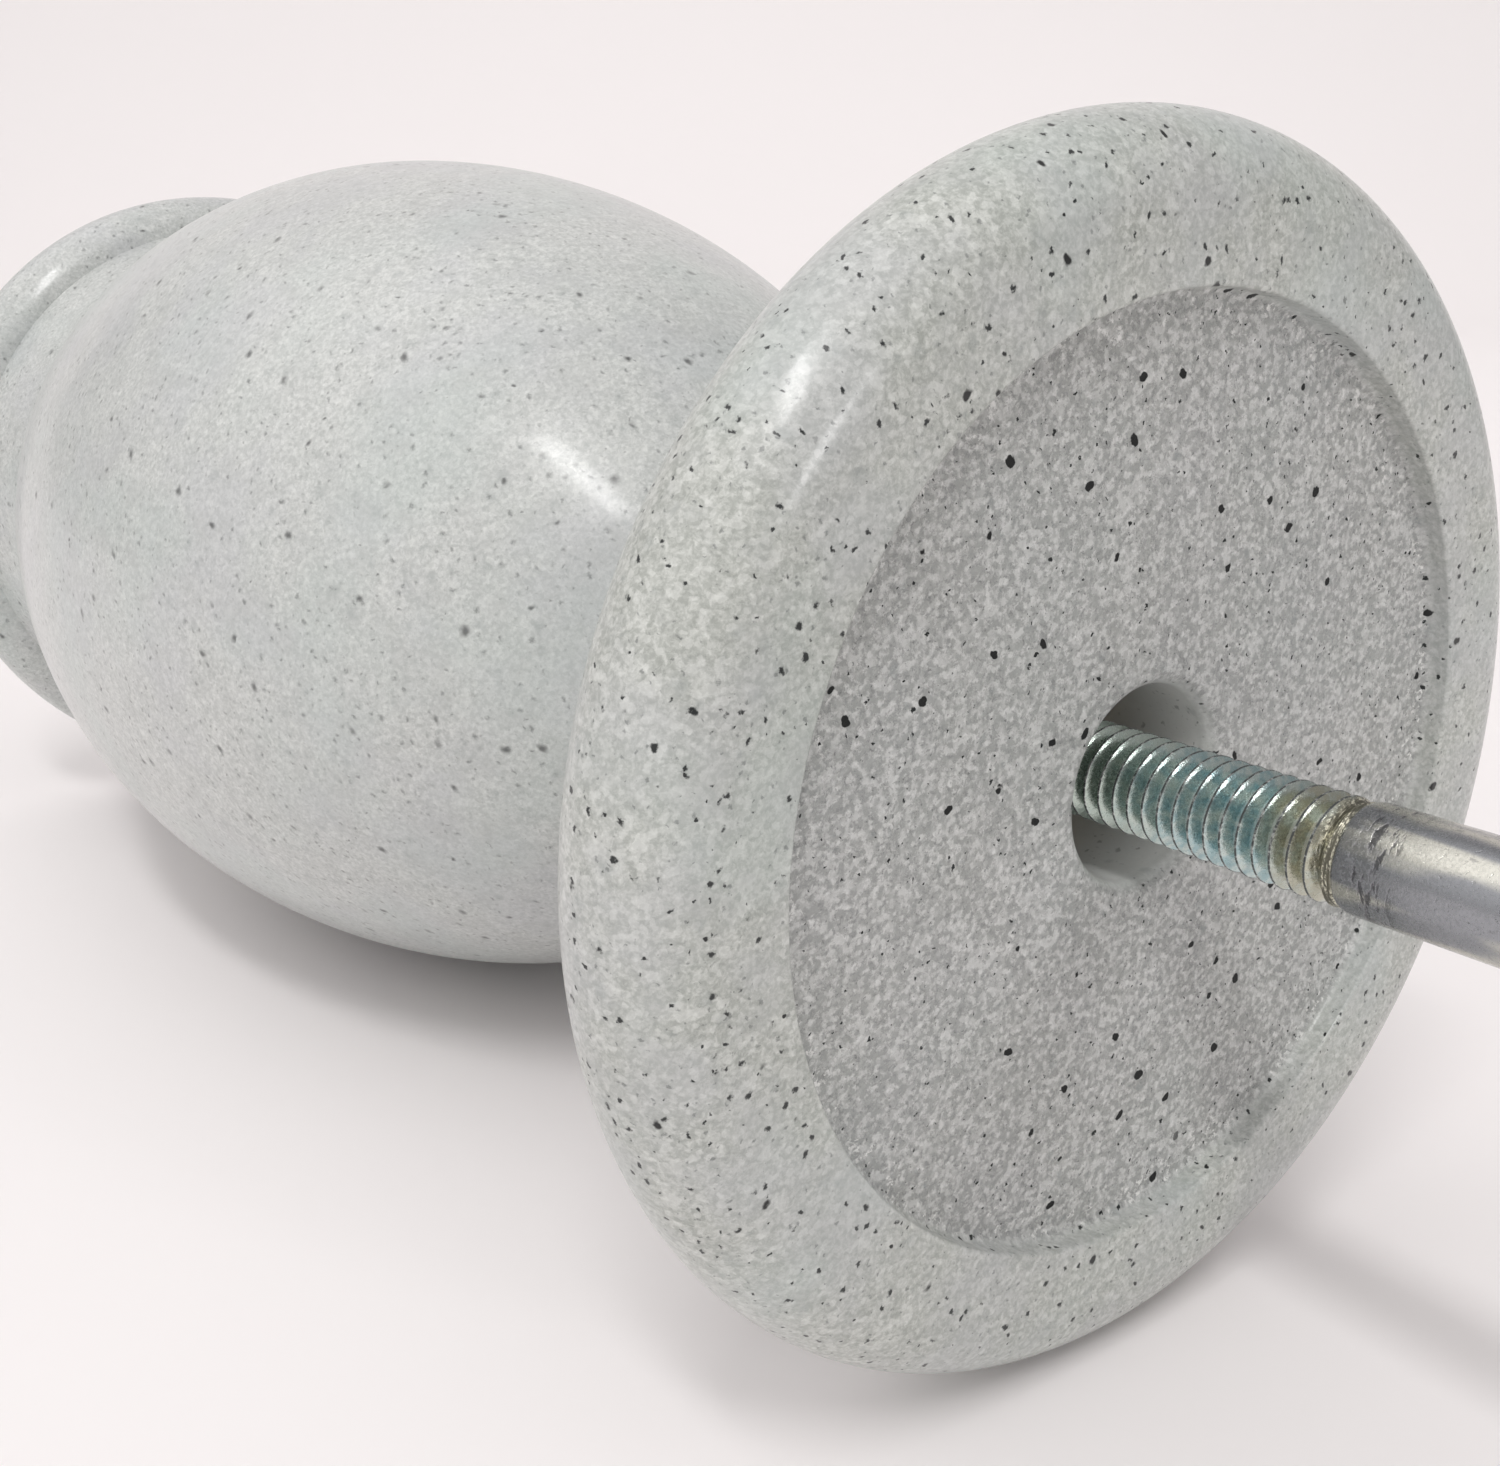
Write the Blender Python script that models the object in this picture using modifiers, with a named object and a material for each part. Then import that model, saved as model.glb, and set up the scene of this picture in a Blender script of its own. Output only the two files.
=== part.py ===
"""Memorial flower vase cast in granite resin, with its liner cup, threaded insert and mounting rod.

Metres, +Z up. The vase stands upright on the axis x = y = 0, and its foot's rim lies in the plane z = 0.
The mounting rod points down from the foot, and the liner cup hangs from a seat in the mouth.
"""

import math

import bmesh
import bpy

# Foot: a round disc with a full bullnose edge and a shallow sunk face underneath.
FOOT_RADIUS = 0.0497
FOOT_THICKNESS = 0.0124
RIM_WIDTH = 0.0061
SUNK_DEPTH = 0.0023
SUNK_FILLET = 0.0008

# Stem between the foot and the bowl.
STEM_RADIUS = 0.0190
STEM_FILLET = 0.0100
BOWL_FILLET = 0.0060

# Bowl: two half-ovals that meet at its widest circle.
BOWL_RADIUS = 0.0479
BOWL_WIDEST_HEIGHT = 0.1175
BOWL_LOWER_LENGTH = 0.0770
BOWL_LOWER_POWER = 2.0
BOWL_UPPER_POWER = 1.8

# Neck: it rises from the bowl's shoulder, and widens a little up to the lip.
NECK_INSET = 0.0105
NECK_LENGTH = 0.0339
NECK_FLARE = 0.0018
SHOULDER_STEP = 0.0025

# Mouth: a round bead that overhangs the neck.
VASE_HEIGHT = 0.1939
LIP_BEAD_RADIUS = 0.0057
LIP_OVERHANG = 0.0066
LIP_INNER_ANGLE = 147.5

# Well: the tapered hollow that holds the liner cup.
NECK_WALL = 0.0074
BOWL_FLOOR_WALL = 0.0100
WELL_TAPER = 0.0030
WELL_CORNER_RADIUS = 0.0060
SEAT_DEPTH = 0.0030

# Rod and thread, a 5/16 inch 18 per inch screw thread on a slightly fuller shank.
THREAD_RADIUS = 0.00397
THREAD_PITCH = 0.001411
THREAD_LENGTH = 0.0445
SHANK_FULLNESS = 0.00013
ROD_LENGTH = 0.1270
ROD_CHAMFER = 0.0008
ROD_END_INSET = 0.0010

# Threaded insert cast into the foot behind a counterbored hole.
COUNTERBORE_MARGIN = 0.00086
COUNTERBORE_DEPTH = 0.0130
INSERT_WALL = 0.0025
INSERT_LENGTH = 0.0140
INSERT_GROOVE_DEPTH = 0.0009
INSERT_BAND_LENGTH = 0.0040
INSERT_HEADROOM = 0.0015

# Liner cup.
LINER_CLEARANCE = 0.0008
LINER_WALL = 0.0014
LINER_FLOOR_CLEARANCE = 0.0020
LINER_CORNER_RADIUS = 0.0050
LINER_FLANGE_THICKNESS = 0.0016

# Touching pieces keep this gap.
GAP = 0.0003

TURNING_STEPS = 40
ROD_STEPS = 24
THREAD_STEPS = 12
AXIS_MERGE = 0.00001

# Heights and radii that follow from the sizes above.
FOOT_EDGE_RADIUS = FOOT_THICKNESS / 2
FOOT_RIM_RADIUS = FOOT_RADIUS - FOOT_EDGE_RADIUS
SUNK_RADIUS = FOOT_RIM_RADIUS - RIM_WIDTH
NECK_RADIUS = BOWL_RADIUS - NECK_INSET
SHOULDER_RADIUS = NECK_RADIUS + SHOULDER_STEP
SHOULDER_HEIGHT = VASE_HEIGHT - NECK_LENGTH
LIP_RADIUS = NECK_RADIUS + LIP_OVERHANG
BEAD_CENTRE_RADIUS = LIP_RADIUS - LIP_BEAD_RADIUS
BEAD_CENTRE_HEIGHT = VASE_HEIGHT - LIP_BEAD_RADIUS
WELL_RADIUS = NECK_RADIUS - NECK_WALL
WELL_FLOOR_RADIUS = WELL_RADIUS - WELL_TAPER
SEAT_RADIUS = BEAD_CENTRE_RADIUS + LIP_BEAD_RADIUS * math.cos(math.radians(LIP_INNER_ANGLE))
SEAT_HEIGHT = BEAD_CENTRE_HEIGHT - SEAT_DEPTH / 2
THREAD_DEPTH = 0.6134 * THREAD_PITCH
THREAD_CREST_WIDTH = THREAD_PITCH / 8
SHANK_RADIUS = THREAD_RADIUS + SHANK_FULLNESS
INSERT_RADIUS = THREAD_RADIUS + GAP + INSERT_WALL
INSERT_BOTTOM = SUNK_DEPTH + COUNTERBORE_DEPTH
INSERT_TOP = INSERT_BOTTOM + INSERT_LENGTH
COUNTERBORE_RADIUS = INSERT_RADIUS + GAP + COUNTERBORE_MARGIN
ROD_TOP_HEIGHT = INSERT_TOP - ROD_END_INSET
THREAD_END_HEIGHT = ROD_TOP_HEIGHT - THREAD_LENGTH


def arc(centre, radius, start, end, steps):
    """Points on a circle arc in the (radius, height) plane, with its angles in degrees."""
    points = []
    for i in range(steps + 1):
        angle = math.radians(start + (end - start) * i / steps)
        points.append((centre[0] + radius * math.cos(angle), centre[1] + radius * math.sin(angle)))
    return points


def curve(start, start_handle, end_handle, end, steps):
    """Points on a cubic curve in the (radius, height) plane."""
    points = []
    for i in range(steps + 1):
        t = i / steps
        weights = ((1 - t) ** 3, 3 * t * (1 - t) ** 2, 3 * t * t * (1 - t), t ** 3)
        corners = (start, start_handle, end_handle, end)
        points.append(tuple(sum(w * c[k] for w, c in zip(weights, corners)) for k in (0, 1)))
    return points


def oval_share(radius, power):
    """How far along its half-oval the bowl has this outer radius, from 0 at its widest to 1 at its tip."""
    return (1 - (radius / BOWL_RADIUS) ** power) ** (1 / power)


BOWL_UPPER_LENGTH = (SHOULDER_HEIGHT - BOWL_WIDEST_HEIGHT) / oval_share(SHOULDER_RADIUS, BOWL_UPPER_POWER)


def bowl_radius_at(height):
    """The bowl's outer radius at a height."""
    below = height < BOWL_WIDEST_HEIGHT
    length = BOWL_LOWER_LENGTH if below else BOWL_UPPER_LENGTH
    power = BOWL_LOWER_POWER if below else BOWL_UPPER_POWER
    share = abs(height - BOWL_WIDEST_HEIGHT) / length
    return BOWL_RADIUS * (1 - share ** power) ** (1 / power)


def lower_height_at(radius):
    """The height at which the lower half of the bowl has this outer radius."""
    return BOWL_WIDEST_HEIGHT - BOWL_LOWER_LENGTH * oval_share(radius, BOWL_LOWER_POWER)


WELL_FLOOR_HEIGHT = lower_height_at(WELL_FLOOR_RADIUS + BOWL_FLOOR_WALL)


def turned(name, profile, steps, collection, finish):
    """An object turned about the Z axis from a profile of (radius, height) points."""
    mesh = bpy.data.meshes.new(name)
    points = [(radius, 0, height) for radius, height in profile]
    edges = [(i, i + 1) for i in range(len(points) - 1)]
    if profile[0][0] > 0:
        edges.append((len(points) - 1, 0))
    mesh.from_pydata(points, edges, [])
    piece = bpy.data.objects.new(name, mesh)
    collection.objects.link(piece)
    screw = piece.modifiers.new("turn", "SCREW")
    screw.axis = "Z"
    screw.angle = math.tau
    screw.steps = steps
    screw.render_steps = steps
    screw.use_merge_vertices = True
    screw.merge_threshold = AXIS_MERGE
    screw.use_smooth_shade = True
    mesh.materials.append(finish)
    return piece


def material(name, colour, roughness, metallic):
    finish = bpy.data.materials.new(name)
    finish.use_nodes = True
    shader = finish.node_tree.nodes["Principled BSDF"]
    shader.inputs["Base Color"].default_value = (*colour, 1)
    shader.inputs["Roughness"].default_value = roughness
    shader.inputs["Metallic"].default_value = metallic
    return finish


def well_profile():
    """From the centre of the well's floor up to the seat in the mouth and over to its wall."""
    corner = (WELL_FLOOR_RADIUS - WELL_CORNER_RADIUS, WELL_FLOOR_HEIGHT + WELL_CORNER_RADIUS)
    points = [(0, WELL_FLOOR_HEIGHT)]
    points += arc(corner, WELL_CORNER_RADIUS, -90, 0, 5)
    points.append((WELL_RADIUS, SEAT_HEIGHT))
    points.append((SEAT_RADIUS, SEAT_HEIGHT))
    return points


def lip_profile():
    """Over the bead, from the mouth's wall round to the corner under the overhang."""
    centre = (BEAD_CENTRE_RADIUS, BEAD_CENTRE_HEIGHT)
    corner_radius = NECK_RADIUS + NECK_FLARE
    outer = -math.degrees(math.acos((corner_radius - BEAD_CENTRE_RADIUS) / LIP_BEAD_RADIUS))
    return arc(centre, LIP_BEAD_RADIUS, LIP_INNER_ANGLE, outer, 12)


def bowl_profile(neck_corner):
    """From the corner under the lip down the neck, the shoulder and the bowl to the stem's top."""
    step = 0.0005
    slope = (bowl_radius_at(SHOULDER_HEIGHT + step) - bowl_radius_at(SHOULDER_HEIGHT - step)) / (2 * step)
    reach = (neck_corner[1] - SHOULDER_HEIGHT) / 2
    neck_handle = (NECK_RADIUS - NECK_FLARE / 4, neck_corner[1] - reach)
    shoulder_handle = (SHOULDER_RADIUS + slope * reach, SHOULDER_HEIGHT + reach)
    shoulder = (SHOULDER_RADIUS, SHOULDER_HEIGHT)
    points = curve(neck_corner, neck_handle, shoulder_handle, shoulder, 6)
    stem_top_radius = STEM_RADIUS + BOWL_FILLET / 2
    bottom = lower_height_at(stem_top_radius)
    upper_steps = 5
    lower_steps = 12
    for i in range(1, upper_steps + 1):
        height = SHOULDER_HEIGHT + (BOWL_WIDEST_HEIGHT - SHOULDER_HEIGHT) * i / upper_steps
        points.append((bowl_radius_at(height), height))
    lowest_angle = math.asin((BOWL_WIDEST_HEIGHT - bottom) / BOWL_LOWER_LENGTH)
    for i in range(1, lower_steps + 1):
        height = BOWL_WIDEST_HEIGHT - BOWL_LOWER_LENGTH * math.sin(lowest_angle * i / lower_steps)
        points.append((bowl_radius_at(height), height))
    return points


def stem_profile(bowl_end):
    """From under the bowl down the stem to the top of the foot's rounded edge."""
    top = (STEM_RADIUS, bowl_end[1] - BOWL_FILLET)
    under_bowl = (STEM_RADIUS, bowl_end[1] - BOWL_FILLET / 2)
    points = curve(bowl_end, (bowl_end[0] - BOWL_FILLET / 4, bowl_end[1] - BOWL_FILLET / 5), under_bowl, top, 3)
    foot_fillet = (STEM_RADIUS + STEM_FILLET, FOOT_THICKNESS + STEM_FILLET)
    points += arc(foot_fillet, STEM_FILLET, 180, 270, 5)
    return points[1:]


def foot_profile():
    """Round the foot's edge and in under it, to the floor of the counterbored hole and the insert's pocket."""
    points = arc((FOOT_RIM_RADIUS, FOOT_EDGE_RADIUS), FOOT_EDGE_RADIUS, 90, -90, 10)
    points.append((SUNK_RADIUS, 0))
    points += arc((SUNK_RADIUS - SUNK_FILLET, SUNK_DEPTH - SUNK_FILLET), SUNK_FILLET, 0, 90, 2)
    points.append((COUNTERBORE_RADIUS, SUNK_DEPTH))
    points.append((COUNTERBORE_RADIUS, INSERT_BOTTOM))
    pocket = [(radius + GAP, height) for radius, height in insert_outside()]
    pocket[-1] = (pocket[-1][0], INSERT_TOP + INSERT_HEADROOM)
    points += pocket
    points.append((0, INSERT_TOP + INSERT_HEADROOM))
    return points


def insert_outside():
    """The insert's outer side from its lower face up, with the groove that keys it into the resin."""
    groove_radius = INSERT_RADIUS - INSERT_GROOVE_DEPTH
    band_top = INSERT_BOTTOM + INSERT_BAND_LENGTH
    band_bottom = INSERT_TOP - INSERT_BAND_LENGTH
    return [
        (INSERT_RADIUS, INSERT_BOTTOM),
        (INSERT_RADIUS, band_top),
        (groove_radius, band_top + INSERT_GROOVE_DEPTH),
        (groove_radius, band_bottom - INSERT_GROOVE_DEPTH),
        (INSERT_RADIUS, band_bottom),
        (INSERT_RADIUS, INSERT_TOP),
    ]


def make_casting(collection):
    """The vase itself: foot, stem, bowl, neck and lip cast in one piece around the well."""
    finish = material("granite resin", (0.66, 0.68, 0.67), 0.32, 0)
    profile = well_profile()
    profile += lip_profile()
    profile += bowl_profile(profile[-1])[1:]
    profile += stem_profile(profile[-1])
    profile += foot_profile()
    return turned("vase_casting", profile, TURNING_STEPS, collection, finish)


def make_insert(collection):
    """The brass sleeve cast into the foot. Its bore clears the rod's crests."""
    finish = material("insert brass", (0.72, 0.56, 0.30), 0.35, 1)
    bore = THREAD_RADIUS + GAP
    outside = insert_outside()
    outside.reverse()
    profile = outside + [(bore, INSERT_BOTTOM), (bore, INSERT_TOP)]
    return turned("threaded_insert", profile, ROD_STEPS, collection, finish)


def make_liner(collection):
    """The plastic cup that holds the water and lifts out of the well by its flange."""
    finish = material("liner plastic", (0.10, 0.22, 0.14), 0.45, 0)
    flange_bottom = SEAT_HEIGHT + GAP
    flange_top = flange_bottom + LINER_FLANGE_THICKNESS
    flange_radius = SEAT_RADIUS - LINER_CLEARANCE
    top_radius = WELL_RADIUS - LINER_CLEARANCE
    floor_radius = WELL_FLOOR_RADIUS - LINER_CLEARANCE
    bottom = WELL_FLOOR_HEIGHT + LINER_FLOOR_CLEARANCE
    corner = (floor_radius - LINER_CORNER_RADIUS, bottom + LINER_CORNER_RADIUS)
    outside = arc(corner, LINER_CORNER_RADIUS, 0, -90, 5)
    inside = arc(corner, LINER_CORNER_RADIUS - LINER_WALL, -90, 0, 5)
    profile = [(0, bottom + LINER_WALL)]
    profile += inside
    profile.append((top_radius - LINER_WALL, flange_top))
    profile.append((flange_radius, flange_top))
    profile.append((flange_radius, flange_bottom))
    profile.append((top_radius, flange_bottom))
    profile += outside
    profile.append((0, bottom))
    return turned("liner_cup", profile, TURNING_STEPS, collection, finish)


def thread_ridge(collection):
    """The screw thread's ridge as one closed coil, sunk a little into the rod's core."""
    sunk = 0.00015
    half_crest = THREAD_CREST_WIDTH / 2
    half_base = half_crest + (THREAD_DEPTH + sunk) * math.tan(math.radians(30))
    core = THREAD_RADIUS - THREAD_DEPTH - sunk
    start = THREAD_END_HEIGHT - THREAD_PITCH / 2
    turns = math.floor((ROD_TOP_HEIGHT - ROD_CHAMFER - start) / THREAD_PITCH)
    outline = [
        (core, start + half_base),
        (THREAD_RADIUS, start + half_crest),
        (THREAD_RADIUS, start - half_crest),
        (core, start - half_base),
    ]
    coil = turned("thread_ridge", outline, THREAD_STEPS, collection, None)
    screw = coil.modifiers["turn"]
    screw.use_merge_vertices = False
    screw.screw_offset = THREAD_PITCH
    screw.iterations = turns
    graph = bpy.context.evaluated_depsgraph_get()
    mesh = bpy.data.meshes.new_from_object(coil.evaluated_get(graph))
    coil.modifiers.clear()
    coil.data = mesh
    form = bmesh.new()
    form.from_mesh(mesh)
    bmesh.ops.holes_fill(form, edges=form.edges[:])
    bmesh.ops.recalc_face_normals(form, faces=form.faces[:])
    form.to_mesh(mesh)
    form.free()
    coil.hide_render = True
    coil.display_type = "WIRE"
    return coil


def make_rod(collection, cutters):
    """The zinc-plated steel rod: a threaded end in the insert and a plain shank below the foot."""
    finish = material("zinc plate", (0.62, 0.66, 0.66), 0.28, 1)
    core = THREAD_RADIUS - THREAD_DEPTH
    bottom = ROD_TOP_HEIGHT - ROD_LENGTH
    shoulder = SHANK_RADIUS - core
    profile = [
        (0, ROD_TOP_HEIGHT),
        (core - ROD_CHAMFER, ROD_TOP_HEIGHT),
        (core, ROD_TOP_HEIGHT - ROD_CHAMFER),
        (core, THREAD_END_HEIGHT),
    ]
    profile += arc((core, THREAD_END_HEIGHT - shoulder), shoulder, 90, 0, 4)
    profile += [
        (SHANK_RADIUS, bottom + ROD_CHAMFER),
        (SHANK_RADIUS - ROD_CHAMFER, bottom),
        (0, bottom),
    ]
    rod = turned("mounting_rod", profile, ROD_STEPS, collection, finish)
    rod.rotation_euler.z = math.pi / ROD_STEPS
    union = rod.modifiers.new("thread", "BOOLEAN")
    union.operation = "UNION"
    union.solver = "EXACT"
    union.object = thread_ridge(cutters)
    return rod


for old in list(bpy.data.objects):
    bpy.data.objects.remove(old)
vase = bpy.data.collections.new("memorial_vase")
helpers = bpy.data.collections.new("helpers")
bpy.context.scene.collection.children.link(vase)
bpy.context.scene.collection.children.link(helpers)
make_casting(vase)
make_insert(vase)
make_liner(vase)
make_rod(vase, helpers)
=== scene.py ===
import math

import bpy
from mathutils import Matrix, Vector


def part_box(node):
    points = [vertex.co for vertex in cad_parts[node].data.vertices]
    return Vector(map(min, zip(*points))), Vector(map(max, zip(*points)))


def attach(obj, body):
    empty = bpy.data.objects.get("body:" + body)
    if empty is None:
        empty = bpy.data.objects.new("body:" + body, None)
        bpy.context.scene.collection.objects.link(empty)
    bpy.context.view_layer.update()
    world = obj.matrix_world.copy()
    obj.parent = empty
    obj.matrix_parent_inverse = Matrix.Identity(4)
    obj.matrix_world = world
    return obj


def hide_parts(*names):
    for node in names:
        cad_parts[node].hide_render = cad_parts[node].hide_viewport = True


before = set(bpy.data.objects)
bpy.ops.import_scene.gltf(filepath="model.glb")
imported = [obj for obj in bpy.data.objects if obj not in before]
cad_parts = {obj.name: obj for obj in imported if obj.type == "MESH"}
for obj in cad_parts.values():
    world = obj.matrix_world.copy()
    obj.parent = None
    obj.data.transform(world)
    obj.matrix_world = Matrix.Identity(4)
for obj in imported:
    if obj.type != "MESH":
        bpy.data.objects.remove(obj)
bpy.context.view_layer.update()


# ---------------------------------------------------------------------------
# The casting: foot, stem, bowl, neck and lip are one piece of polyester resin, cast round the well with
# white marble grain and black flecks in it. The outside has the mould's gloss, and the foot's underside is
# turned flat and left matte.

foot_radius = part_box("vase_casting")[1].x
vase_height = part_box("vase_casting")[1].z
foot_thickness = 0.0124
sunk_radius = 0.0374
sunk_depth = 0.0023
sunk_fillet = 0.0009
rim_edge_round = 0.0003
stem_radius = 0.0190
stem_fillet = 0.0100
bowl_fillet = 0.0060
bowl_radius = 0.0479
bowl_widest_height = 0.1175
bowl_lower_length = 0.0770
bowl_upper_length = 0.08615
bowl_lower_power = 2.0
bowl_upper_power = 1.8
shoulder_height = 0.1600
lip_radius = 0.0440
lip_bead_radius = 0.0057
neck_radius = 0.0374
neck_flare = 0.0018
well_radius = 0.0300
well_floor_radius = 0.0270
well_floor_height = 0.0686
well_corner_round = 0.0060
seat_radius = 0.0335
seat_height = 0.1867
seat_edge_round = 0.0004
hole_radius = 0.00793
hole_edge_round = 0.0014
hole_floor_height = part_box("threaded_insert")[0].z
insert_pocket_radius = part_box("threaded_insert")[1].x + 0.0001
insert_pocket_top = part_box("threaded_insert")[1].z + 0.0015
turning_steps = 192
same_point = 0.000002


def arc(centre, radius, start, end, steps):
    """Points on a circle arc in the (radius, height) plane, with its angles in degrees."""
    points = []
    for i in range(steps + 1):
        angle = math.radians(start + (end - start) * i / steps)
        points.append((centre[0] + radius * math.cos(angle), centre[1] + radius * math.sin(angle)))
    return points


def curve(start, start_handle, end_handle, end, steps):
    """Points on a cubic curve in the (radius, height) plane."""
    points = []
    for i in range(steps + 1):
        t = i / steps
        weights = ((1 - t) ** 3, 3 * t * (1 - t) ** 2, 3 * t * t * (1 - t), t ** 3)
        corners = (start, start_handle, end_handle, end)
        points.append(tuple(sum(w * c[k] for w, c in zip(weights, corners)) for k in (0, 1)))
    return points


def drawn(name, outline):
    """A new object with the outline drawn by extruding one point, left in edit mode."""
    bpy.ops.object.select_all(action="DESELECT")
    bpy.ops.mesh.primitive_plane_add(size=0.001, location=(outline[0][0], 0, outline[0][1]))
    piece = bpy.context.object
    piece.name = name
    piece.data.name = name
    bpy.ops.object.transform_apply(location=True)
    bpy.ops.object.mode_set(mode="EDIT")
    bpy.ops.mesh.select_all(action="SELECT")
    bpy.ops.mesh.merge(type="CENTER")
    here = outline[0]
    for point in outline[1:]:
        move = (point[0] - here[0], 0, point[1] - here[1])
        bpy.ops.mesh.extrude_region_move(TRANSFORM_OT_translate={"value": move})
        here = point
    return piece


def turned(name, outline, steps):
    """A piece spun about the Z axis from an outline of (radius, height) points."""
    piece = drawn(name, outline)
    bpy.ops.mesh.select_all(action="SELECT")
    bpy.ops.mesh.spin(steps=steps, angle=math.tau, center=(0, 0, 0), axis=(0, 0, 1))
    bpy.ops.mesh.select_all(action="SELECT")
    bpy.ops.mesh.remove_doubles(threshold=same_point)
    bpy.ops.mesh.normals_make_consistent(inside=False)
    bpy.ops.object.mode_set(mode="OBJECT")
    bpy.ops.object.shade_smooth_by_angle(angle=math.radians(38))
    return piece


def bowl_radius_at(height):
    """The bowl's outer radius at a height."""
    below = height < bowl_widest_height
    length = bowl_lower_length if below else bowl_upper_length
    power = bowl_lower_power if below else bowl_upper_power
    share = abs(height - bowl_widest_height) / length
    return bowl_radius * (1 - share ** power) ** (1 / power)


well = [(0, well_floor_height)]
well += arc((well_floor_radius - well_corner_round, well_floor_height + well_corner_round),
            well_corner_round, -90, 0, 10)
well += arc((well_radius + seat_edge_round, seat_height - seat_edge_round), seat_edge_round, 180, 90, 4)
well += arc((seat_radius - seat_edge_round, seat_height + seat_edge_round), seat_edge_round, -90, 0, 4)

bead_centre = (lip_radius - lip_bead_radius, vase_height - lip_bead_radius)
inner_angle = 180 - math.degrees(math.acos((bead_centre[0] - seat_radius) / lip_bead_radius))
outer_angle = -math.degrees(math.acos((neck_radius + neck_flare - bead_centre[0]) / lip_bead_radius))
lip = arc(bead_centre, lip_bead_radius, inner_angle, outer_angle, 44)

neck_corner = lip[-1]
shoulder = (bowl_radius_at(shoulder_height), shoulder_height)
slope_step = 0.0005
shoulder_slope = (bowl_radius_at(shoulder_height + slope_step)
                  - bowl_radius_at(shoulder_height - slope_step)) / (2 * slope_step)
neck_reach = (neck_corner[1] - shoulder_height) / 2
neck = curve(neck_corner, (neck_radius - neck_flare / 4, neck_corner[1] - neck_reach),
             (shoulder[0] + shoulder_slope * neck_reach, shoulder_height + neck_reach), shoulder, 20)

bowl = []
upper_steps, lower_steps = 18, 40
for i in range(1, upper_steps + 1):
    height = shoulder_height + (bowl_widest_height - shoulder_height) * i / upper_steps
    bowl.append((bowl_radius_at(height), height))
stem_top_radius = stem_radius + bowl_fillet / 2
bowl_bottom = bowl_widest_height - bowl_lower_length * math.sqrt(1 - (stem_top_radius / bowl_radius) ** 2)
lowest_angle = math.asin((bowl_widest_height - bowl_bottom) / bowl_lower_length)
for i in range(1, lower_steps + 1):
    height = bowl_widest_height - bowl_lower_length * math.sin(lowest_angle * i / lower_steps)
    bowl.append((bowl_radius_at(height), height))

stem = curve(bowl[-1], (bowl[-1][0] - bowl_fillet / 4, bowl_bottom - bowl_fillet / 5),
             (stem_radius, bowl_bottom - bowl_fillet / 2), (stem_radius, bowl_bottom - bowl_fillet), 8)
stem += arc((stem_radius + stem_fillet, foot_thickness + stem_fillet), stem_fillet, 180, 270, 14)

edge_radius = foot_thickness / 2
foot = arc((foot_radius - edge_radius, edge_radius), edge_radius, 90, -90, 36)
foot += arc((sunk_radius + rim_edge_round, rim_edge_round), rim_edge_round, -90, -180, 4)
foot += arc((sunk_radius - sunk_fillet, sunk_depth - sunk_fillet), sunk_fillet, 0, 90, 6)
foot += [(sunk_radius * share, sunk_depth) for share in (0.8, 0.6, 0.4)]
foot += arc((hole_radius + hole_edge_round, sunk_depth + hole_edge_round), hole_edge_round, -90, -180, 6)
foot += [(hole_radius, hole_floor_height), (insert_pocket_radius, hole_floor_height)]
foot += [(insert_pocket_radius, insert_pocket_top), (0, insert_pocket_top)]

casting = turned("vase", well + lip + neck[1:] + bowl + stem[1:] + foot, turning_steps)


class Wire:
    """An output of a shader node. Arithmetic on it adds the Math nodes."""

    def __init__(self, finish, socket):
        self.finish = finish
        self.socket = socket

    def math(self, operation, *values):
        return self.finish.node("ShaderNodeMath", {"operation": operation}, dict(enumerate(values)))

    def __add__(self, other):
        return self.math("ADD", self, other)

    def __sub__(self, other):
        return self.math("SUBTRACT", self, other)

    def __rsub__(self, other):
        return self.math("SUBTRACT", other, self)

    def __mul__(self, other):
        return self.math("MULTIPLY", self, other)

    def __truediv__(self, other):
        return self.math("DIVIDE", self, other)

    def __rtruediv__(self, other):
        return self.math("DIVIDE", other, self)

    def __pow__(self, other):
        return self.math("POWER", self, other)

    __radd__ = __add__
    __rmul__ = __mul__


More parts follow.
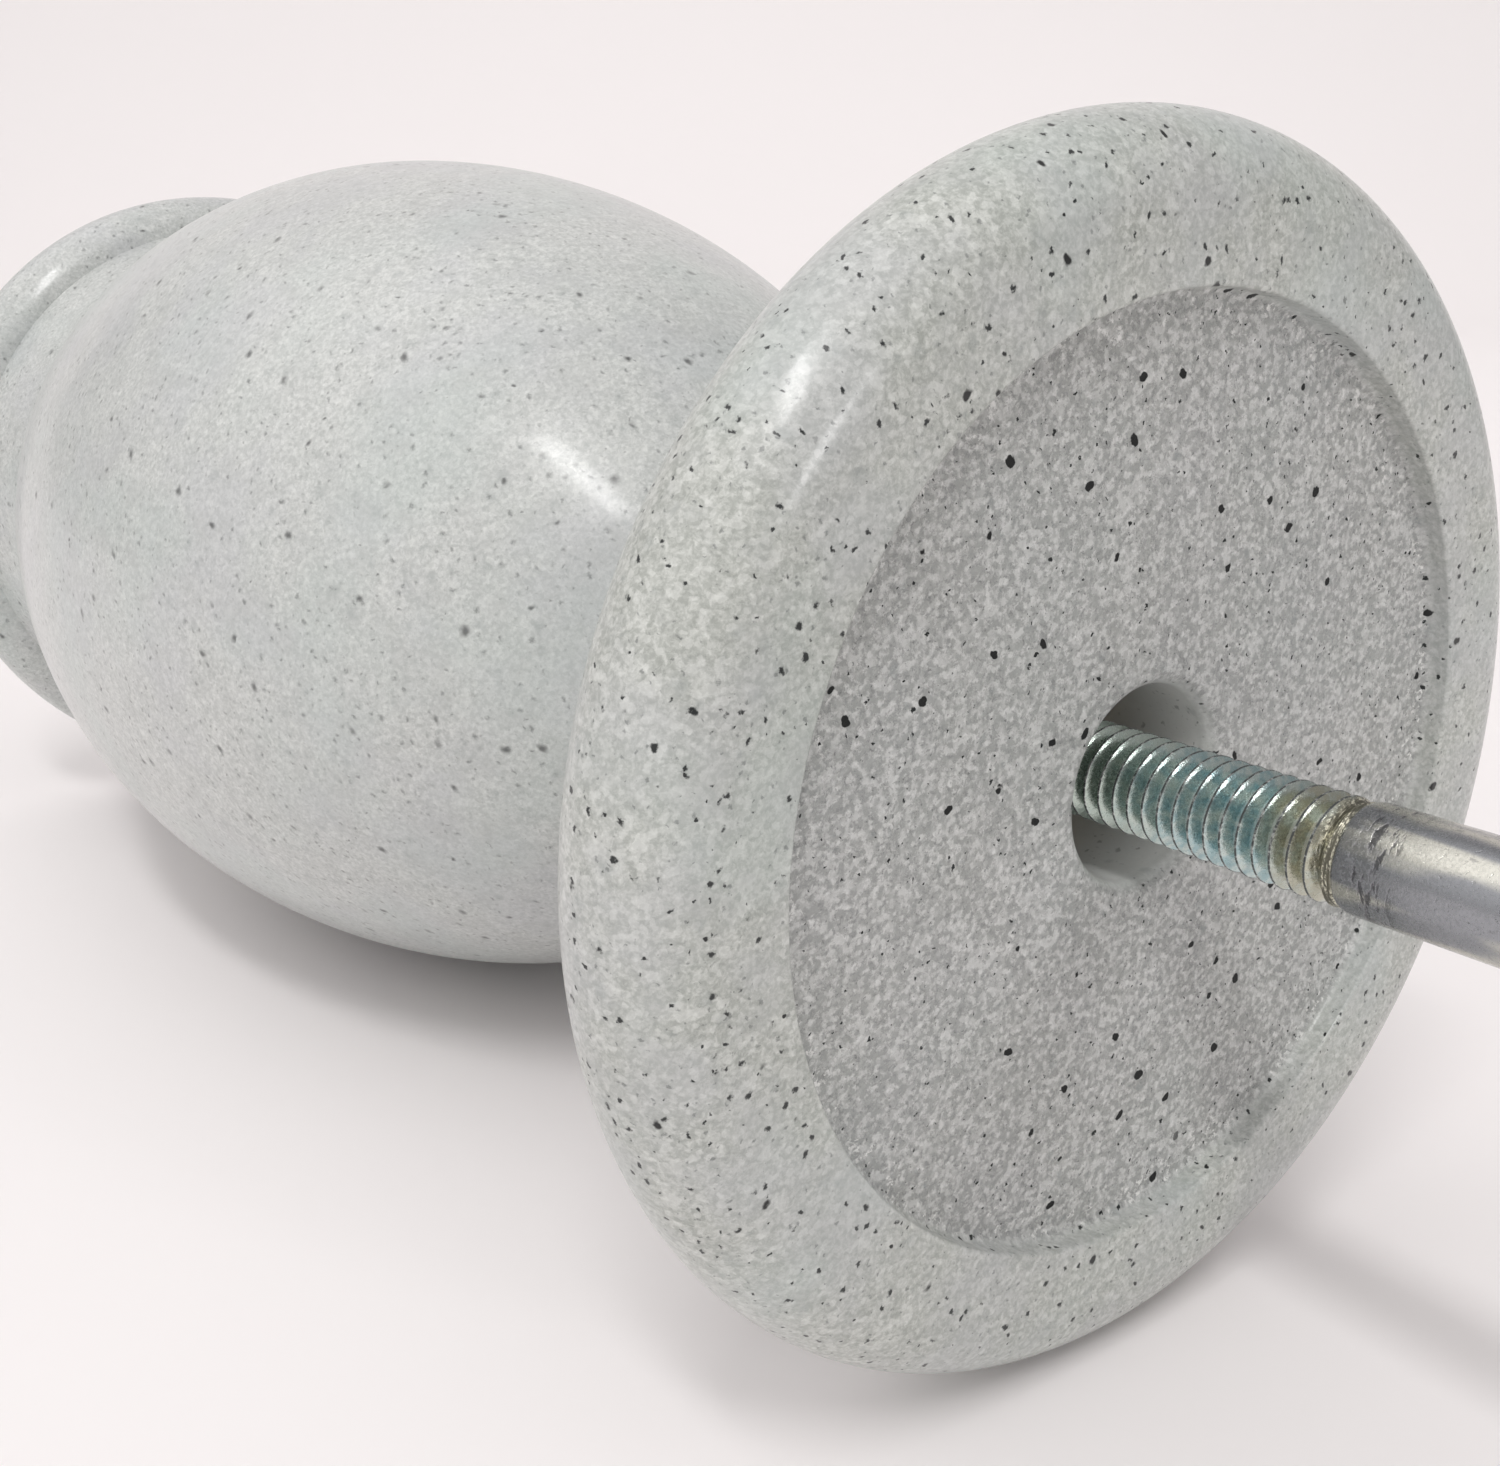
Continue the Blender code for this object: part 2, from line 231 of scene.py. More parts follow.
class Finish:
    """The nodes of a new material or world: node() adds any node, and the rest are short forms of it."""

    def __init__(self, owner, shader="Principled BSDF"):
        owner.use_nodes = True
        self.owner = owner
        self.nodes = owner.node_tree.nodes
        self.links = owner.node_tree.links
        self.shader = self.nodes[shader]

    def feed(self, socket, value):
        if isinstance(value, Wire):
            self.links.new(value.socket, socket)
        else:
            socket.default_value = value

    def node(self, kind, settings=None, values=None, out=0):
        made = self.nodes.new(kind)
        for name, setting in (settings or {}).items():
            setattr(made, name, setting)
        for key, value in (values or {}).items():
            self.feed(made.inputs[key], value)
        return Wire(self, made.outputs[out])

    def vector(self, operation, *values, out=0):
        return self.node("ShaderNodeVectorMath", {"operation": operation}, dict(enumerate(values)), out)

    def scaled(self, vector, factor):
        return self.node("ShaderNodeVectorMath", {"operation": "SCALE"}, {0: vector, "Scale": factor})

    def part(self, vector, axis):
        return self.node("ShaderNodeSeparateXYZ", values={0: vector}, out=axis)

    def millimetres(self):
        """Places on the piece, in millimetres."""
        return self.scaled(self.node("ShaderNodeTexCoord", out="Object"), 1000.0)

    def noise(self, vector, scale, detail=2.0, roughness=0.5, out="Fac"):
        values = {"Vector": vector, "Scale": scale, "Detail": detail, "Roughness": roughness}
        return self.node("ShaderNodeTexNoise", values=values, out=out)

    def between(self, value, low, high, to_low=0.0, to_high=1.0):
        """The value taken smoothly from low..high to to_low..to_high, and held at the ends."""
        values = {"Value": value, "From Min": low, "From Max": high, "To Min": to_low, "To Max": to_high}
        return self.node("ShaderNodeMapRange", {"interpolation_type": "SMOOTHSTEP"}, values)

    def colour(self, factor, first, second):
        """The first colour, or wire of colours, mixed into the second by the factor."""
        settings = {"data_type": "RGBA", "blend_type": "MIX", "clamp_factor": True}
        first = first if isinstance(first, Wire) else (*first, 1)
        second = second if isinstance(second, Wire) else (*second, 1)
        return self.node("ShaderNodeMix", settings, {0: factor, 6: first, 7: second}, out=2)

    def bump(self, height, strength, distance, normal=None):
        values = {"Height": height, "Strength": strength, "Distance": distance}
        if normal:
            values["Normal"] = normal
        return self.node("ShaderNodeBump", values=values)

    def set(self, **values):
        """Sets the shader's sockets, named with underscores for spaces."""
        for name, value in values.items():
            self.feed(self.shader.inputs[name.replace("_", " ")], value)


def granite_finish():
    """Pale grey resin with marble grain, blue-grey and greenish clouds and black flecks. The bowl's gel coat
    veils them, the foot shows them clearly, and the turned face is matte and cut through the grain."""
    granite = Finish(bpy.data.materials.new("granite_resin"))
    mm = granite.millimetres()
    height = granite.part(mm, "Z")
    radius = granite.vector("LENGTH", granite.vector("MULTIPLY", mm, (1, 1, 0)), out="Value")
    sunk_edge = sunk_radius * 1000
    face_height = sunk_depth * 1000
    hole_edge = hole_radius * 1000
    foot_top = foot_thickness * 1000

    in_rim = 1 - granite.between(radius, sunk_edge - 0.5, sunk_edge + 0.2)
    turned_face = in_rim * (1 - granite.between(height, face_height + 0.1, face_height + 0.7))
    # The hole's wall carries painted light near its mouth and painted shade deeper in: the masks below.
    in_hole = 1 - granite.between(radius, hole_edge + 0.17, hole_edge + 1.07)
    in_hole = in_hole * granite.between(height, face_height - 0.1, face_height + 1.9)
    painted_hole_shade = in_hole * granite.between(height, face_height + 0.7, face_height + 9.7)
    veil = granite.between(height, foot_top - 1.4, foot_top + 13.6)

    def shifted(vector, shift):
        """The same places moved by a fixed amount, so that a pattern there is another one."""
        return granite.vector("ADD", vector, shift)

    def moved(vector, scale, reach):
        """Places pushed about by a noise, so that what is drawn there has no straight or even edges."""
        push = granite.vector("SUBTRACT", granite.noise(mm, scale, out="Color"), (0.5, 0.5, 0.5))
        return granite.vector("ADD", vector, granite.scaled(push, reach))

    place = moved(mm, 1.3, 0.6)
    ragged = moved(place, 5.0, 0.30)

    coarse = granite.between(granite.noise(place, 1 / 1.15, 4, 0.62), 0.34, 0.68)
    fine = granite.between(granite.noise(shifted(place, (7, 3, 5)), 1 / 0.42, 3, 0.75), 0.38, 0.66)

    def crystals(vector, size):
        """Marble crystals of one size, each with a brightness of its own and a soft edge."""
        cells = {"Vector": vector, "Scale": 1 / size, "Smoothness": 0.8}
        colours = granite.node("ShaderNodeTexVoronoi", {"feature": "SMOOTH_F1"}, cells, out="Color")
        return granite.between(granite.part(colours, "X"), 0.25, 0.85)

    crystal = crystals(ragged, 0.38)
    whiter = granite.between(crystals(moved(mm, 3.0, 0.4), 0.55), 0.60, 0.95)
    cloud = granite.noise(mm, 1 / 13, 3, 0.55)
    green_cloud = granite.noise(shifted(mm, (40, 0, 0)), 1 / 20)
    patch = granite.noise(mm, 1 / 3.8, 3, 0.6)

    grain = coarse * 0.20 + fine * 0.52 + crystal * 0.28
    clear_body = granite.colour(grain, (0.315, 0.332, 0.305), (0.59, 0.607, 0.575))
    veiled_body = granite.colour(grain, (0.42, 0.44, 0.425), (0.64, 0.655, 0.64))
    body = granite.colour(veil, clear_body, veiled_body)
    body = granite.colour(whiter * (0.30 - veil * 0.1), body, (0.75, 0.765, 0.735))
    body = granite.colour(granite.between(cloud, 0.42, 0.66) * 0.30, body, (0.46, 0.47, 0.50))
    body = granite.colour(granite.between(green_cloud, 0.46, 0.68) * 0.26, body, (0.45, 0.53, 0.50))
    body = granite.colour(granite.between(patch, 0.46, 0.72) * 0.34, body, (0.42, 0.435, 0.425))

    def flecks(size, share, smallest, largest, squash, soft, vector=ragged):
        """How much a fleck covers a place. A share of the cells has one, flattened in its own direction."""
        cells = {"Vector": vector, "Scale": 1 / size}
        centre = granite.node("ShaderNodeTexVoronoi", {"feature": "F1"}, cells, out="Position")
        random = Wire(granite, centre.socket.node.outputs["Color"])
        offset = granite.vector("SUBTRACT", vector, centre)
        direction = granite.vector("NORMALIZE", granite.vector("SUBTRACT", random, (0.5, 0.5, 0.5)))
        along = granite.vector("DOT_PRODUCT", offset, direction, out="Value")
        across = granite.vector("DOT_PRODUCT", offset, offset, out="Value")
        distance = (across + along * along * squash) ** 0.5
        there = granite.between(granite.part(random, "Y"), 1 - share, 1 - share + 0.01)
        reach = granite.between(granite.part(random, "Z"), 0.0, 1.0, smallest, largest)
        edge = (veil * 0.5 + soft) * (1 - turned_face * 0.6)
        return there * (1 - granite.between(distance / reach, 1 - edge, 1 + edge))

    large = flecks(2.6, 0.36, 0.20, 0.50, 1.6, 0.25, place)
    medium = flecks(1.07, 0.60, 0.13, 0.28, 2.2, 0.35)
    sharp = flecks(0.95, 0.30, 0.11, 0.22, 3.0, 0.30, shifted(ragged, (21, 4, 13))) * turned_face
    small = flecks(0.72, 0.65, 0.08, 0.17, 2.0, 0.5)
    deep = flecks(2.1, 0.55, 0.25, 0.55, 1.2, 0.8)

    chips = granite.between(granite.noise(ragged, 1 / 0.55, 4, 0.7), 0.50, 0.57) * (crystal * 0.6 + 0.4)
    pits = granite.between(granite.noise(shifted(ragged, (9, 9, 0)), 1 / 0.5, 4, 0.75), 0.54, 0.62)
    crack_cells = {"Vector": ragged, "Scale": 1 / 1.5}
    crack = granite.node("ShaderNodeTexVoronoi", {"feature": "DISTANCE_TO_EDGE"}, crack_cells)
    crack = (1 - granite.between(crack, 0.0, 0.045)) * granite.between(fine, 0.70, 0.95)
    face_grain = crystals(moved(mm, 6.0, 0.35), 0.42)
    face = granite.colour(0.70, body, granite.colour(face_grain, (0.31, 0.315, 0.31), (0.60, 0.605, 0.595)))
    face = granite.colour(chips * 0.42, face, (0.80, 0.805, 0.795))
    face = granite.colour(pits * 0.42, face, (0.18, 0.185, 0.185))
    face = granite.colour(crack * 0.40, face, (0.16, 0.16, 0.16))
    edge_noise = granite.noise(mm, 1 / 2.2, 3, 0.7)
    chipped_edge = granite.between(radius + edge_noise * 4, sunk_edge - 1.8, sunk_edge + 1.2)
    chipped_edge = chipped_edge * in_rim * granite.between(edge_noise, 0.5, 0.6)
    face = granite.colour(chipped_edge * chips * 0.8, face, (0.86, 0.86, 0.84))
    body = granite.colour(turned_face, body, face)
    # Painted light: the hole's wall is painted pale and its flecks thinned. Painted shade: darker deeper in
    # the hole.
    body = granite.colour(in_hole * 0.85, body, (0.80, 0.805, 0.79))
    body = granite.colour(painted_hole_shade * 0.5, body, (0.42, 0.425, 0.41))
    clear = 1 - veil * 0.5 - in_hole * 0.6
    body = granite.colour(deep * 0.26, body, (0.20, 0.23, 0.23))
    body = granite.colour(small * clear * 0.55, body, (0.08, 0.09, 0.09))
    body = granite.colour(medium * clear, body, (0.012, 0.015, 0.015))
    body = granite.colour(sharp, body, (0.008, 0.010, 0.010))
    body = granite.colour(large * (1 - veil * 0.25), body, (0.004, 0.005, 0.005))

    skin = granite.bump(granite.noise(mm, 0.9, 2), 0.25, 0.00003)
    cut_relief = (granite.noise(ragged, 1.9, 4, 0.7) - crack * 0.6 + chips * 0.2) * turned_face
    turned_bump = granite.bump(cut_relief, 0.6, 0.00022, skin)
    granite.set(Base_Color=body, Roughness=turned_face * 0.35 + 0.34, Coat_Weight=(1 - turned_face) * 0.35,
                Normal=turned_bump, Coat_Roughness=0.14, IOR=1.45)
    return granite.owner


casting.data.materials.append(granite_finish())
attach(casting, "vase")
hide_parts("vase_casting")


# ---------------------------------------------------------------------------
# The threaded insert: a turned brass sleeve that is cast into the foot, with two knurled bands and a groove
# that key it into the resin. Its lower face is the bottom of the hole, and the rod screws into it.

insert_low, insert_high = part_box("threaded_insert")
insert_bore = 0.00427
insert_chamfer = 0.0003
insert_band = 0.0040
insert_groove = 0.0009
knurl_teeth = 60
knurl_depth = 0.00022
thread_pitch = 0.001411
thread_depth = 0.6134 * thread_pitch
crest_flat = thread_pitch / 11
root_flat = thread_pitch / 5
thread_steps = 72
thread_start = 1.31 * thread_pitch
tap_shallower = 0.00006

sleeve = [
    (insert_bore, insert_high.z),
    (insert_high.x - insert_chamfer, insert_high.z),
    (insert_high.x, insert_high.z - insert_chamfer),
    (insert_high.x, insert_high.z - insert_band),
    (insert_high.x - insert_groove, insert_high.z - insert_band - insert_groove),
    (insert_high.x - insert_groove, insert_low.z + insert_band + insert_groove),
    (insert_high.x, insert_low.z + insert_band),
    (insert_high.x, insert_low.z + insert_chamfer),
    (insert_high.x - insert_chamfer, insert_low.z),
    (insert_bore, insert_low.z),
    (insert_bore, insert_high.z),
]


def screwed(name, crest_radius, top, turns):
    """An open screw thread that runs down from the top: one pitch's outline carried along the helix."""
    outline = [
        (crest_radius, 0),
        (crest_radius, -crest_flat),
        (crest_radius - thread_depth, -(thread_pitch + crest_flat - root_flat) / 2),
        (crest_radius - thread_depth, -(thread_pitch + crest_flat + root_flat) / 2),
        (crest_radius, -thread_pitch),
    ]
    piece = drawn(name, [(radius, top + height) for radius, height in outline])
    bpy.ops.object.mode_set(mode="OBJECT")
    screw = piece.modifiers.new("thread", "SCREW")
    screw.axis = "Z"
    screw.angle = math.tau
    screw.screw_offset = -thread_pitch
    screw.iterations = turns
    screw.steps = screw.render_steps = thread_steps
    screw.use_merge_vertices = False
    bpy.ops.object.modifier_apply(modifier="thread")
    bpy.ops.object.mode_set(mode="EDIT")
    bpy.ops.mesh.select_all(action="SELECT")
    bpy.ops.mesh.remove_doubles(threshold=same_point)
    return piece


def cut_square(height, keep_below, cap):
    """Cuts the thread being edited square across at a height, with a flat cap on the cut if asked."""
    bpy.ops.mesh.select_all(action="SELECT")
    bpy.ops.mesh.bisect(plane_co=(0, 0, height), plane_no=(0, 0, 1), threshold=same_point / 20,
                        clear_outer=keep_below, clear_inner=not keep_below, use_fill=cap)


def make_insert():
    """The sleeve is turned, every other row of its bands' points is pressed in for the knurl, and a tap cuts
    the thread into its bore."""
    insert = turned("insert", sleeve, 2 * knurl_teeth)
    row_step = math.pi / knurl_teeth
    for vertex in insert.data.vertices:
        row = round(math.atan2(vertex.co.y, vertex.co.x) / row_step)
        on_band = math.hypot(vertex.co.x, vertex.co.y) > insert_high.x - insert_chamfer / 2
        if on_band and row % 2:
            vertex.co.x *= 1 - knurl_depth / insert_high.x
            vertex.co.y *= 1 - knurl_depth / insert_high.x
    turns = math.ceil((insert_high.z - insert_low.z) / thread_pitch) + 4
    tap_top = insert_high.z + thread_pitch
    tap = screwed("tap", insert_bore - tap_shallower + thread_depth, tap_top + thread_start, turns)
    cut_square(tap_top, keep_below=True, cap=True)
    cut_square(insert_low.z - thread_pitch, keep_below=False, cap=True)
    bpy.ops.mesh.select_all(action="SELECT")
    bpy.ops.mesh.normals_make_consistent(inside=False)
    bpy.ops.object.mode_set(mode="OBJECT")
    bpy.ops.object.select_all(action="DESELECT")
    bpy.context.view_layer.objects.active = insert
    insert.select_set(True)
    tapped = insert.modifiers.new("tapped", "BOOLEAN")
    tapped.operation = "DIFFERENCE"
    tapped.object = tap
    bpy.ops.object.modifier_apply(modifier="tapped")
    bpy.data.objects.remove(tap)
    bpy.ops.object.shade_smooth_by_angle(angle=math.radians(25))
    return insert


def brass_finish():
    """Turned brass with fine tool rings, dulled and browned in patches by the resin."""
    brass = Finish(bpy.data.materials.new("insert_brass"))
    mm = brass.millimetres()
    tarnish = brass.noise(mm, 0.7, 4, 0.6)
    turning = brass.noise(brass.vector("MULTIPLY", mm, (0.6, 0.6, 14.0)), 1.0, 2)
    base = brass.colour(brass.between(tarnish, 0.35, 0.7), (0.72, 0.54, 0.27), (0.46, 0.34, 0.17))
    brass.set(Base_Color=base, Metallic=1.0, Roughness=tarnish * 0.3 + 0.2,
              Normal=brass.bump(turning, 0.2, 0.00005))
    return brass.owner


insert = make_insert()
insert.data.materials.append(brass_finish())
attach(insert, "vase")
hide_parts("threaded_insert")


# ---------------------------------------------------------------------------
# The mounting rod: a zinc-plated steel rod with a rolled thread on the end that screws into the vase. The
# plain shank is a little fuller than the thread, and its far end is chamfered.

rod_low, rod_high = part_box("mounting_rod")
thread_radius = 0.00397
run_out = 1.1 * thread_pitch
run_out_radius = thread_radius - 0.00012
shank_radius = 0.0041
shoulder_edge = 0.00012
shoulder_length = 0.0010
shoulder_steps = 8
thread_end_height = -0.0162
rod_chamfer = 0.0008
shank_rings = (-0.022, -0.03, -0.05, -0.08)


def make_rod():
    """The thread fades out at its end, and the shank is drawn out of the square cut there."""
    turns = math.ceil((rod_high.z - thread_end_height) / thread_pitch) + 2
    rod = screwed("rod", thread_radius, rod_high.z + thread_start, turns)
    bpy.ops.object.mode_set(mode="OBJECT")
    for vertex in rod.data.vertices:
        radius = math.hypot(vertex.co.x, vertex.co.y)
        fade = min(max((thread_end_height + run_out - vertex.co.z) / run_out, 0), 1)
        wanted = radius + (run_out_radius - radius) * fade
        vertex.co.x *= wanted / radius
        vertex.co.y *= wanted / radius
    bpy.ops.object.mode_set(mode="EDIT")
    cut_square(rod_high.z, keep_below=True, cap=True)
    cut_square(thread_end_height, keep_below=False, cap=False)

    here = (run_out_radius, thread_end_height)
    start = (run_out_radius - shoulder_edge, thread_end_height - shoulder_edge)
    steps = [start]
    for i in range(1, shoulder_steps + 1):
        angle = math.pi / 2 * i / shoulder_steps
        steps.append((start[0] + (shank_radius - start[0]) * math.sin(angle),
                      start[1] - shoulder_length * (1 - math.cos(angle))))
    steps += [(shank_radius, height) for height in (*shank_rings, rod_low.z + rod_chamfer)]
    steps.append((shank_radius - rod_chamfer, rod_low.z))
    for radius, height in steps:
        bpy.ops.mesh.extrude_region_move(TRANSFORM_OT_translate={"value": (0, 0, height - here[1])})
        ratio = radius / here[0]
        bpy.ops.transform.resize(value=(ratio, ratio, 1), center_override=(0, 0, height))
        here = (radius, height)
    bpy.ops.mesh.edge_face_add()
    bpy.ops.mesh.select_all(action="SELECT")
    bpy.ops.mesh.normals_make_consistent(inside=False)
    bpy.ops.object.mode_set(mode="OBJECT")
    bpy.ops.object.shade_smooth_by_angle(angle=math.radians(30))
    return rod


def zinc_finish():
    """Zinc with a thin passivation film: blue-green on the thread, olive towards the shank, grey on the shank,
    with a rough run-out and dull scuffs. Painted light: streaks of painted reflection on the shank, crests
    painted dark with light glints, painted gold glints on the run-out, and one even painted tone in the hole's
    mouth."""
    zinc = Finish(bpy.data.materials.new("zinc_plate"))
    mm = zinc.millimetres()
    height = zinc.part(mm, "Z")
    radius = zinc.vector("LENGTH", zinc.vector("MULTIPLY", mm, (1, 1, 0)), out="Value")
    crest_radius = thread_radius * 1000
    shank_top = thread_end_height * 1000
    fade_top = shank_top + run_out * 1000

    def stretched(across, along, detail=3, roughness=0.6):
        """Noise drawn out round the rod or along it: both are how many times it changes in a millimetre."""
        return zinc.noise(zinc.vector("MULTIPLY", mm, (across, across, along)), 1.0, detail, roughness)

    tint = stretched(0.22, 0.22, 2)
    mottle = stretched(0.9, 0.5)
    film_height = height + tint * 7.0 - 3.5
    olive = 1 - zinc.between(film_height, shank_top + 4.0, shank_top + 6.6)
    # The turns at and inside the hole's mouth are painted one even tone: painted light, set against the shade
    # and dark reflection of the hole.
    inside = zinc.between(film_height, -3.0, 4.0)
    base = zinc.colour(zinc.between(mottle, 0.35, 0.65), (0.38, 0.53, 0.55), (0.61, 0.69, 0.66))
    base = zinc.colour(olive * (1 - zinc.between(mottle, 0.45, 0.65) * 0.5), base, (0.50, 0.50, 0.41))
    base = zinc.colour(inside * 0.85, base, (0.50, 0.57, 0.51))

    in_run_out = 1 - zinc.between(height, fade_top - 0.45, fade_top - 0.05)
    shank = 1 - zinc.between(height, shank_top - 0.3, shank_top)
    rough_part = in_run_out * (1 - shank)
    # The run-out is painted dark with bright gold flecks: its rough, torn surface, with painted glints in the
    # flecks.
    sparkle = zinc.between(stretched(3.2, 5.0, 3, 0.8), 0.46, 0.58)
    rings = zinc.between(stretched(0.5, 5.0, 2), 0.44, 0.56)
    torn_and_glinting = zinc.colour(sparkle * rings, (0.17, 0.165, 0.13), (0.95, 0.92, 0.76))
    base = zinc.colour(rough_part, base, torn_and_glinting)
    # Light and dark streaks along the shank: painted reflections of the bands of the room it mirrors.
    band = zinc.between(stretched(0.30, 0.05, 2), 0.46, 0.60)
    shank_painted_reflections = zinc.colour(band, (0.33, 0.34, 0.36), (0.62, 0.615, 0.56))
    base = zinc.colour(shank, base, shank_painted_reflections)

    # The crests are painted dark with light patches: a painted reflection of the dark room along each crest,
    # with painted glints where it is light.
    crest = zinc.between(radius, crest_radius - 0.07, crest_radius - 0.02) * (1 - in_run_out)
    crest_chips_and_glints = zinc.between(stretched(2.2, 2.2, 4, 0.8), 0.50, 0.60)
    base = zinc.colour(crest, base, zinc.colour(crest_chips_and_glints, (0.14, 0.15, 0.15), (0.62, 0.64, 0.63)))

    near_shoulder = 1 - zinc.between(height, shank_top - 1.7, shank_top - 1.2)
    near_shoulder = near_shoulder * zinc.between(height, shank_top - 5.3, shank_top - 3.8)
    smudges = zinc.between(stretched(0.45, 1.5, 4, 0.7), 0.51, 0.59) * near_shoulder
    scuffs = zinc.between(stretched(1.5, 0.8, 4, 0.75), 0.60, 0.70) * shank
    pits = zinc.between(stretched(3.5, 3.5, 2, 0.6), 0.64, 0.72) * shank
    base = zinc.colour(smudges * 0.85, base, (0.13, 0.13, 0.14))
    base = zinc.colour(scuffs * 0.45, base, (0.25, 0.25, 0.26))

    fine = stretched(4.0, 4.0, 3, 0.7)
    relief = fine * (1.1 - shank * 0.6) + (sparkle * 2.0 + rings * 3.0) * rough_part
    relief = relief - pits * 1.2 - smudges * 1.5 + stretched(0.8, 0.25) * shank
    roughness = zinc.between(fine, 0.40, 0.65) * 0.16 + shank * 0.02 + 0.15
    roughness = roughness + scuffs * 0.15 + (rough_part + crest) * 0.14
    zinc.set(Base_Color=base, Metallic=1.0, Roughness=roughness, Normal=zinc.bump(relief, 0.35, 0.00005))
    return zinc.owner


rod = make_rod()
rod.data.materials.append(zinc_finish())
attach(rod, "rod")
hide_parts("mounting_rod")


# ---------------------------------------------------------------------------
# The liner cup: a moulded green plastic cup that hangs in the well by its flange and lifts out to be filled.
# It tapers towards a small foot ring, and the flange's edges are rounded.

liner_low, liner_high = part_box("liner_cup")
liner_wall = 0.0014
liner_top_radius = 0.0292
liner_floor_radius = 0.0262
liner_corner = 0.0050
flange_radius = liner_high.x
flange_thickness = 0.0016
flange_round = 0.0005
foot_ring_radius = 0.0185
foot_ring_width = 0.0016
foot_ring_height = 0.0006
liner_steps = 144

flange_top = liner_high.z
flange_underside = flange_top - flange_thickness
floor_level = liner_low.z + foot_ring_height
inner_corner = (liner_floor_radius - liner_corner, floor_level + liner_corner)
cup = [(0, floor_level + liner_wall)]
cup += arc(inner_corner, liner_corner - liner_wall, -90, 0, 10)
cup += arc((liner_top_radius - liner_wall + flange_round, flange_top - flange_round), flange_round, 180, 90, 6)
cup += arc((flange_radius - flange_round, flange_top - flange_round), flange_round, 90, 0, 6)
cup += arc((flange_radius - flange_round, flange_underside + flange_round), flange_round, 0, -90, 6)
cup += arc((liner_top_radius + flange_round, flange_underside - flange_round), flange_round, 90, 180, 6)
cup += arc(inner_corner, liner_corner, 0, -90, 12)
cup += [(foot_ring_radius + foot_ring_width, floor_level)]
cup += arc((foot_ring_radius + foot_ring_width / 2, floor_level - foot_ring_height + foot_ring_width / 4),
           foot_ring_width / 4, 0, -180, 8)
cup += [(foot_ring_radius, floor_level), (0, floor_level)]


def plastic_finish():
    """Dark green polythene with faint flow streaks from moulding, dull scuffs and a line of scale where
    water stands."""
    plastic = Finish(bpy.data.materials.new("liner_plastic"))
    mm = plastic.millimetres()
    tone = plastic.noise(mm, 0.12, 3)
    streaks = plastic.noise(plastic.vector("MULTIPLY", mm, (0.9, 0.9, 0.06)), 1.0, 3)
    scuffs = plastic.between(plastic.noise(mm, 0.8, 4, 0.75), 0.60, 0.72)
    level = plastic.part(mm, "Z") + tone * 3.0
    scale = plastic.between(level, 166, 168) * (1 - plastic.between(level, 168.5, 171))
    base = plastic.colour(tone * 0.6 + streaks * 0.4, (0.045, 0.12, 0.072), (0.085, 0.19, 0.115))
    base = plastic.colour(scuffs * 0.35, base, (0.20, 0.27, 0.22))
    base = plastic.colour(scale * 0.25, base, (0.50, 0.52, 0.46))
    grain = plastic.noise(mm, 2.5, 3)
    plastic.set(Base_Color=base, Roughness=tone * 0.2 + scuffs * 0.2 + scale * 0.2 + 0.28,
                Normal=plastic.bump(grain + streaks, 0.15, 0.00005))
    return plastic.owner


liner = turned("liner", cup, liner_steps)
liner.data.materials.append(plastic_finish())
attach(liner, "liner")
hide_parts("liner_cup")


# ---------------------------------------------------------------------------
# The studio: the vase lies on its side on a pale sweep, touching it with the foot's edge and the widest part
# of the bowl. Up from the sweep is -Y here.

room_up = Vector((0, -1, 0))
camera_place = Vector((-0.1001, -0.0428, -0.0769))
camera_looks = Vector((0.58396, 0.29646, 0.75572))
camera_right = camera_looks.cross(room_up).normalized()
ahead = room_up.cross(camera_right)
floor_slope = (bowl_radius - foot_radius) / (bowl_widest_height - edge_radius)
floor_height = foot_radius - floor_slope * edge_radius


def look_from(place, looks):
    """The matrix of a camera or light at a place, looking along a direction with the room's up."""
    right = looks.cross(room_up).normalized()
    up = right.cross(looks).normalized()
    matrix = Matrix((right, up, -looks.normalized())).transposed().to_4x4()
    matrix.translation = place
    return matrix


camera = bpy.data.objects.new("camera", bpy.data.cameras.new("camera"))
bpy.context.scene.collection.objects.link(camera)
camera.data.lens = 40.8
camera.data.sensor_width = 36
camera.data.clip_start = 0.005
camera.matrix_world = look_from(camera_place, camera_looks)
bpy.context.scene.camera = camera


def make_sweep():
    """A floor that bends up into a wall well behind the vase: its side view, drawn out sideways."""
    near, far, bend, wall_top, width = -1.2, 1.1, 0.5, 1.9, 3.0
    side_view = [(near, 0)] + arc((far, bend), bend, -90, 0, 15) + [(far + bend, wall_top)]
    sweep = drawn("sweep", side_view)
    bpy.ops.mesh.select_all(action="SELECT")
    bpy.ops.mesh.extrude_region_move(TRANSFORM_OT_translate={"value": (0, width, 0)})
    bpy.ops.object.mode_set(mode="OBJECT")
    floor_up = Vector((0, -1, floor_slope)).normalized()
    left = ahead.cross(floor_up).normalized() * -1
    forward = left.cross(floor_up)
    place = Matrix((forward, left, floor_up)).transposed().to_4x4()
    place.translation = Vector((0, floor_height, 0)) - left * width / 2
    sweep.matrix_world = place
    bpy.ops.object.transform_apply(location=True, rotation=True)
    bpy.ops.object.shade_smooth()
    return sweep


